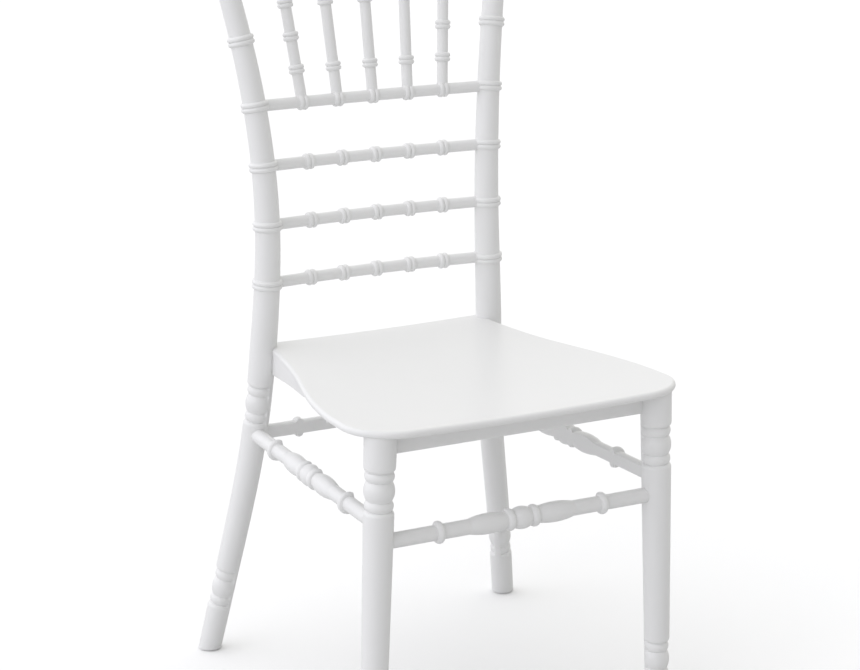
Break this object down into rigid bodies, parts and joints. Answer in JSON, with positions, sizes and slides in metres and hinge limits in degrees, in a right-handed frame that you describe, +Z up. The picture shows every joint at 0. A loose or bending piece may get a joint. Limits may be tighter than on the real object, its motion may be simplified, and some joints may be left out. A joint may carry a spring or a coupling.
{
  "type": "chiavari chair",
  "caption": "White ballroom dining chair with bamboo-like turned legs, ringed stretchers, moulded seat and open back of rails and spindles.",
  "frame": {"origin": "on the floor, under the middle of the chair's overall box", "axes": "+Z up, the sitter faces -Y, +X to the right of someone who looks at the chair's front"},
  "size_m": [0.4822, 0.4877, 0.9633],
  "materials": {
    "white_plastic": "semi-gloss",
    "glide_plastic": "matte"
  },
  "bodies": {
    "root": {"back_rail_1": "white_plastic", "back_rail_2": "white_plastic", "back_rail_3": "white_plastic", "back_rail_4": "white_plastic", "crest_rail": "white_plastic", "crest_spindle_1": "white_plastic", "crest_spindle_2": "white_plastic", "crest_spindle_3": "white_plastic", "crest_spindle_4": "white_plastic", "crest_spindle_5": "white_plastic", "front_glide_left": "glide_plastic", "front_glide_right": "glide_plastic", "front_leg_left": "white_plastic", "front_leg_right": "white_plastic", "front_seat_rail": "white_plastic", "front_stretcher": "white_plastic", "left_stretcher": "white_plastic", "rear_glide_left": "glide_plastic", "rear_glide_right": "glide_plastic", "rear_post_left": "white_plastic", "rear_post_right": "white_plastic", "rear_seat_rail": "white_plastic", "rear_stretcher": "white_plastic", "right_stretcher": "white_plastic", "seat_shell": "white_plastic", "spindle_1": "white_plastic", "spindle_2": "white_plastic", "spindle_3": "white_plastic", "spindle_4": "white_plastic", "spindle_5": "white_plastic", "spindle_rail": "white_plastic"}
  },
  "joints": []
}
